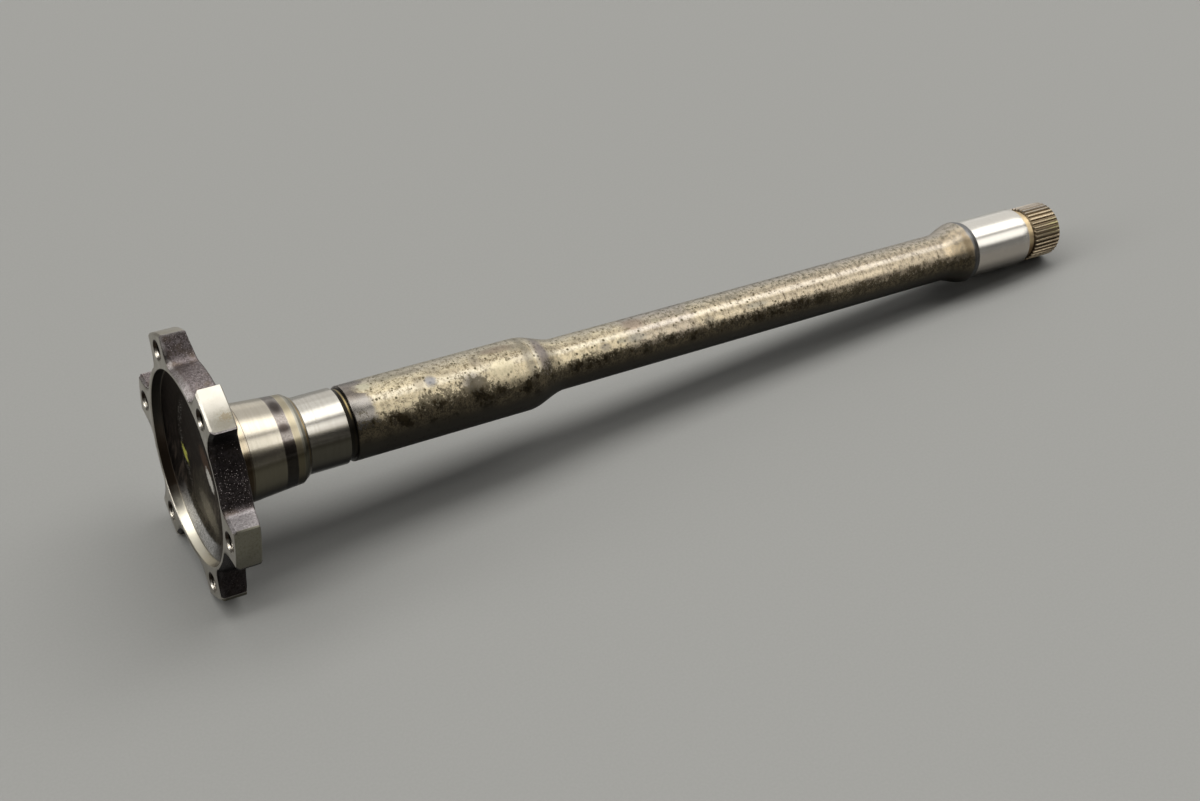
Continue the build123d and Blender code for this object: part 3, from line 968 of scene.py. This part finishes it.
def stem():
    """Unground lengths: tarnished steel, olive film, dots of rust and a dark underside."""
    s = Shader("tarnished_steel")
    x, _, angle = s.shaft()
    w1 = s.noise(s.stretched(0.16, 0.16)) - 0.5
    w2 = s.noise(s.stretched(0.55, 0.45, 4.0), 4.0, 0.65) - 0.5
    fine = s.noise(s.stretched(1.9, 1.5, 8.0), 4.0, 0.7) - 0.5
    grit = s.noise(s.stretched(4.4, 4.0, 6.0), 3.0, 0.7) - 0.5
    streak = s.noise(s.stretched(0.75, 0.10, 2.0), 4.0, 0.65) - 0.5
    warp = w2 * 1.5 + fine * 0.9
    slim = s.step(x, 152.0, 172.0)
    aged = s.step(x, 185.0, 300.0)
    calm = 1.0 - s.step(x, 300.0, 330.0) * 0.30 - s.step(x, 372.0, 382.0) * 0.50
    # clean film, cream to olive, greyer along the top
    s.colour = s.blend(s.step(w2, -0.14, 0.16), (0.53, 0.462, 0.322), (0.385, 0.340, 0.250))
    s.paint(s.step(angle + w1 * 30.0, -16.0, 10.0, 0.65, 0.0), (0.365, 0.340, 0.290))
    s.shade(aged, (0.82, 0.81, 0.86))
    s.shade(s.step(fine + grit * 0.7, 0.02, 0.22) * 0.7 * calm, (0.62, 0.58, 0.49))
    s.shade(s.step(grit, 0.02, 0.20) * 0.4 * calm, (0.60, 0.57, 0.50))
    s.shade(s.band(x + w1 * 8.0, 197.0, 232.0, 4.0) * 0.8, (0.80, 0.80, 0.90))
    # painted shade and light in bands round the stem: darker at 8-21° along the thick length,
    # lighter at 31-72°
    s.shade(s.band(angle, 8.0, 21.0, 5.0) * s.step(x, 84.0, 130.0, 0.25, 0.9), (0.74, 0.73, 0.74))
    s.shade(s.band(angle, 31.0, 72.0, 4.0) * s.step(x, 126.0, 150.0, 0.8, 1.0), (1.26, 1.24, 1.22))
    # painted highlight: lighter and bluer at 19-31°, less so near the thick length's end
    highlight_band = s.band(angle, 19.0, 31.0, 4.0)
    veil = s.step(w2 * 1.2 + fine * 1.0 + grit * 0.4, 0.01, 0.13)
    veil = veil * calm * (1.0 - highlight_band * slim * 0.6)
    s.shade(veil * s.step(angle, 14.0, 40.0, 0.80, 0.35), (0.50, 0.46, 0.37))
    stipple = (
        s.step(fine * 0.9 + grit * 0.8, 0.06, 0.15) * s.band(angle, -22.0, 22.0, 6.0) * calm
        * (1.0 - slim * 0.4))
    s.shade(stipple * 0.8, (0.58, 0.54, 0.46))
    s.shade(highlight_band, (1.12, 1.155, 1.27))
    s.shade(highlight_band * s.band(x, 126.0, 147.0, 3.0), (0.80, 0.79, 0.79))
    s.shade(s.step(angle, 16.0, 2.0), (1.30, 1.31, 1.34))
    # streaks round the slim length
    s.shade(s.step(streak, 0.02, 0.20) * (0.25 + 0.55 * aged) * calm, (0.56, 0.53, 0.50))
    s.shade(
        s.step(w2 + streak * 0.6, 0.08, 0.22) * (0.15 + 0.55 * aged) * calm, (0.42, 0.38, 0.33))
    crown = (
        s.band(angle + w1 * 24.0, -20.0, 15.0, 6.0) * s.step(x, 205.0, 222.0)
        * s.step(w2 * 1.2 + fine * 0.8, 0.0, 0.10))
    s.paint(crown * 0.65, (0.200, 0.182, 0.130))
    # dots of rust, many behind the groove and few farther on
    few = 1.0 - s.step(x, 285.0, 320.0) * 0.45 - s.step(x, 372.0, 382.0) * 0.4
    dist, pick = s.cells(s.stretched(0.62, 0.62))
    dense = s.band(x, 77.0, 98.0, 5.0) * 0.45 + s.band(x, 98.0, 150.0, 6.0) * 0.22 + slim * 0.10
    size = s.step(pick, 0.55, 1.0, 0.15, 0.36)
    dots = s.fall(dist - size + fine * 0.18, -0.05, 0.06) * s.step(pick + dense, 0.83, 0.87) * few
    s.paint(dots * 0.9, (0.085, 0.072, 0.040))
    small, which = s.cells(s.stretched(1.5, 1.5, 3.0))
    specks = s.fall(small, 0.12, 0.26) * s.step(which + dense * 0.5, 0.80, 0.90) * few
    s.paint(specks * 0.6, (0.13, 0.11, 0.07))
    # painted highlight on the flare at 19-58°, painted shade on it at -2-14°
    flare = s.band(x, 378.0, 389.0, 2.0)
    s.shade(
        flare * s.band(angle, 19.0, 58.0, 6.0),
        s.blend(s.step(angle, 28.0, 42.0), (1.30, 1.26, 1.18), (1.75, 1.68, 1.54)))
    s.shade(flare * s.band(angle, -2.0, 14.0, 5.0), (0.72, 0.70, 0.67))
    # smooth grey length next to the groove, painted darker as shade at 1-19° and on its underside,
    # and larger blotches
    smooth = s.fall(x + w1 * 6.0 + fine * 3.0 + s.band(angle, -12.0, 10.0, 4.0) * 4.0, 73.5, 76.5)
    plain = s.blend(
        s.step(angle + w1 * 20.0, 8.0, 22.0), (0.195, 0.172, 0.160), (0.225, 0.212, 0.204))
    plain = s.tint(s.band(angle, 1.0, 19.0, 4.0), plain, (0.72, 0.71, 0.71))
    plain = s.tint(s.step(angle, 75.0, 84.0), plain, (0.50, 0.48, 0.45))
    s.paint(smooth * 0.9, plain)
    for place_x, place_a, size_x, size_a, shade, much in BLOTCHES:
        s.paint(s.patch(place_x, place_a, size_x, size_a, warp, 0.45) * much, shade)
    # dark mottles, denser towards the underside, until it is dark all over
    early = s.band(x + w1 * 10.0, 93.0, 128.0, 4.0)
    late = s.band(x + w1 * 8.0, 128.0, 146.0, 3.0)
    far = slim * 4.0 + s.step(x, 296.0, 312.0) * 6.0
    lean = s.step(angle + w1 * 30.0 + early * 12.0 - late * 12.0 - far, 26.0, 66.0)
    speckle = w1 * 0.5 + w2 * 1.3 + fine * 0.95 + grit * 0.40
    mottle = s.step(speckle + lean * 0.50, 0.30, 0.40) * s.step(angle + early * 8.0, 18.0, 34.0)
    mottle = mottle * s.step(x, 372.0, 382.0, 1.0, 0.15)
    s.paint(
        mottle * 0.80,
        s.blend(s.step(x, 290.0, 315.0), (0.100, 0.085, 0.058), (0.150, 0.122, 0.080)))
    edge = (
        s.math("ABSOLUTE", angle + 8.0) - 8.0 - late * 5.0 - far + w1 * 16.0 + w2 * 36.0
        + fine * 26.0 + grit * 10.0)
    lower = s.step(edge, 51.0, 61.0)
    scale = s.blend(
        s.step(w2 + fine * 0.9 + grit * 0.5, -0.10, 0.16), (0.056, 0.047, 0.034),
        (0.185, 0.152, 0.098))
    scale = s.blend(s.step(edge, 68.0, 96.0), scale, (0.039, 0.035, 0.028))
    clots = (
        s.step(w1 * 1.1 + w2 * 0.9 + streak * 0.35, 0.02, 0.15) * s.band(angle, 46.0, 84.0, 7.0)
        * s.step(x, 290.0, 315.0, 1.0, 0.45))
    scale = s.tint(clots, scale, (0.30, 0.28, 0.25))
    s.paint(lower, scale)
    # heat-blued ring and grey collar before the journal, painted lighter on top as a painted
    # highlight and darker below
    s.paint(
        s.step(x + w1 * 1.5, 391.4, 392.5) * 0.9,
        s.blend(s.step(angle, 26.0, 50.0), (0.160, 0.166, 0.175), (0.070, 0.070, 0.072)))
    polish = s.band(x, 205.0, 345.0, 10.0)
    rough = 0.30 + 0.15 * (fine + 0.5) + 0.15 * dots + 0.10 * lower - 0.10 * smooth - 0.07 * polish
    height = (fine + 0.5) * 0.4 + (w2 + 0.5) * 0.4 + (grit + 0.5) * 0.3 - 0.5 * dots
    return s.finish(rough, s.bump(height, 0.035))


def toothed():
    """Neck and teeth: gold tarnish, brown between the teeth, with painted shade there and on the
    underside.
    """
    s = Shader("toothed_steel")
    x, r, angle = s.shaft()
    grain = s.noise(s.stretched(1.2, 1.6), 4.0, 0.7)
    cloud = s.noise(s.stretched(0.25, 0.2))
    depth = s.step(r, TOOTH_ROOT_R + 0.1, TOOTH_TIP_R - 0.05)
    tip = s.blend(s.step(grain, 0.35, 0.7), (0.52, 0.435, 0.305), (0.30, 0.24, 0.16))
    tip = s.blend(
        s.step(angle + (cloud - 0.5) * 20.0, -4.0, 14.0, 0.8, 0.0), tip, (0.40, 0.365, 0.33))
    tip = s.blend(
        s.band(angle, 36.0, 64.0, 8.0) * s.step(x + (grain - 0.5) * 6.0, 440.0, 446.0) * 0.6, tip,
        (0.50, 0.46, 0.22))
    # painted shade between the teeth: brown tarnish, darker towards the bottom
    shaded_gap = s.blend(
        s.step(angle + (cloud - 0.5) * 30.0, 60.0, 85.0), (0.215, 0.165, 0.105),
        (0.10, 0.072, 0.045))
    s.colour = s.blend(depth * s.step(grain, 0.15, 0.42, 0.55, 1.0), shaded_gap, tip)
    neck = s.fall(x, 433.0, 433.5)
    gold = s.blend(s.step(x, 429.6, 431.0), (0.62, 0.56, 0.45), (0.58, 0.455, 0.275))
    s.paint(neck, gold)
    end = s.step(x, 450.5, 450.62)
    s.paint(end, s.blend(s.step(grain, 0.4, 0.65), (0.34, 0.31, 0.27), (0.18, 0.15, 0.11)))
    # painted shade on the underside
    facing_down_shade = s.fall(s.upward() + (cloud - 0.5) * 0.2, -0.1, 0.45)
    s.shade(facing_down_shade, (0.30, 0.24, 0.19))
    return s.finish(0.30 + 0.18 * grain, s.bump(grain, 0.04))


def groove():
    """Groove behind the seat: black as painted shade, with a gold line along its floor painted
    only where it faces up, as a painted highlight.
    """
    s = Shader("groove_steel")
    x, _, _ = s.axes()
    turned = s.noise(s.stretched(4.0, 0.05), 2.0)
    # painted highlight: the gold line shows only where the floor faces up
    line = (
        s.band(x, 65.0, 65.6, 0.22) * s.step(s.upward(), 0.66, 0.92, 0.03, 1.0)
        * s.step(turned, 0.25, 0.6, 0.6, 1.0))
    s.colour = s.blend(line, (0.016, 0.014, 0.011), (0.30, 0.235, 0.115))
    return s.finish(0.30 + 0.15 * turned, s.bump(turned, 0.02))


def thread():
    """Threaded holes: bright at the mouth, black farther in and wherever they do not face up, as
    painted shade.
    """
    s = Shader("thread_steel")
    x, _, _ = s.axes()
    grain = s.noise(s.stretched(1.5, 1.5))
    s.colour = s.blend(s.step(grain, 0.35, 0.7), (0.66, 0.63, 0.57), (0.34, 0.30, 0.24))
    # painted shade: black deeper than 1-2 mm and where the surface does not face up
    shade = s.math("MAXIMUM", s.step(x, 0.9, 2.2), s.fall(s.upward(), 0.25, 0.62))
    s.shade(shade, (0.07, 0.055, 0.045))
    return s.finish(0.30, s.bump(grain, 0.03))


# One material for each number above, in the same order
for make in (face_steel, forged, dish_steel, ground, stem, toothed, thread, groove):
    mesh.materials.append(make())

# The holes are cut, and the cutters go
depsgraph = bpy.context.evaluated_depsgraph_get()
cut_mesh = bpy.data.meshes.new_from_object(shaft.evaluated_get(depsgraph))
shaft.modifiers.clear()
shaft.data = cut_mesh
cut_mesh.name = NAME
bpy.data.meshes.remove(mesh)
for cutter in [o for o in bpy.data.objects if o.name.startswith("cutter_")]:
    data = cutter.data
    bpy.data.objects.remove(cutter)
    bpy.data.meshes.remove(data)
cut_mesh.polygons.foreach_set("use_smooth", [True] * len(cut_mesh.polygons))
cut_mesh.set_sharp_from_angle(angle=radians(32))
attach(shaft, "root")
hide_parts("output_shaft")

# Floor
bpy.ops.mesh.primitive_plane_add(size=8, location=(0, 0, 0))
floor = bpy.context.object
floor.name = "floor"
sheet = Shader("floor_sheet")
speck = sheet.step(sheet.noise(sheet.place, 2.0, scale=900.0), 0.3, 0.7)
sheet.colour = sheet.blend(speck, (0.368, 0.370, 0.360), (0.382, 0.384, 0.374))
floor.data.materials.append(sheet.finish(0.6, metallic=0.0))

# Light. Each pane of the world is its level, then its reach along X and across Y on a ceiling
# one metre up, and how soft its long edges are. The lamps light everything; the room is what
# polished metal shows.
LAMPS = (
    (4.6, -6.0, -1.6, 0.05, 0.80, 0.08),
    (3.5, -1.6, 0.28, 0.03, 0.52, 0.05),
    (2.8, 0.28, 1.6, -0.27, 0.36, 0.07),
    (1.5, 0.28, 1.6, 0.38, 0.54, 0.05),
)
ROOM = (
    (1.3, 0.15, 0.95, -1.34, -0.50, 0.05),
    (1.9, 0.95, 2.15, -1.72, -0.50, 0.05),
    (0.92, -0.3, 60.0, 0.58, 70.0, 0.04),
    (0.25, 3.2, 70.0, -70.0, -1.9, 0.10),
)
PANE_END = 0.12             # how soft the short edges of a pane are
FAINT = 0.045               # level between the panes
ROOM_FILL = 0.3             # share of the room's level that also lights dull surfaces
LAMP_COLOUR = (1.0, 0.985, 0.95)
BACKDROP = (0.60, 0.60, 0.58)

world = bpy.data.worlds.new("studio")
bpy.context.scene.world = world
world.use_nodes = True
w = Nodes(world.node_tree)
sight = w.node("ShaderNodeTexCoord").outputs["Generated"]
split = w.node("ShaderNodeSeparateXYZ", sight)
dx, dy, dz = (Value(w, o) for o in split.outputs)
across = dy / w.math("MAXIMUM", dz, 0.02)
along = dx / w.math("MAXIMUM", dz, 0.02)
high = w.step(dz, -0.02, 0.03)


def panes(rows):
    """Level of the world's light from some panes, in the direction looked at."""
    total = 0.0
    for level, x0, x1, y0, y1, soft in rows:
        pane = level * w.band(along, x0, x1, PANE_END) * w.band(across, y0, y1, soft) * high
        total = total + pane
    return total


path = w.node("ShaderNodeLightPath")
glossy = Value(w, path.outputs["Is Glossy Ray"])
strength = panes(LAMPS) + (panes(ROOM) + FAINT) * (ROOM_FILL + (1.0 - ROOM_FILL) * glossy)
lit = w.node("ShaderNodeBackground", LAMP_COLOUR, strength)
plain = w.node("ShaderNodeBackground", BACKDROP)
chosen = w.node(
    "ShaderNodeMixShader", path.outputs["Is Camera Ray"], lit.outputs[0], plain.outputs[0])
w.node("ShaderNodeOutputWorld", chosen.outputs[0])

# Camera
camera = bpy.data.objects.new("camera", bpy.data.cameras.new("camera"))
bpy.context.scene.collection.objects.link(camera)
camera.location = (-0.33350, -0.49087, 0.48789)
camera.rotation_euler = (radians(50.083), radians(-0.689), radians(-30.684))
camera.data.lens = 50.03
camera.data.sensor_width = 36
bpy.context.scene.camera = camera
bpy.context.scene.view_settings.view_transform = "Standard"
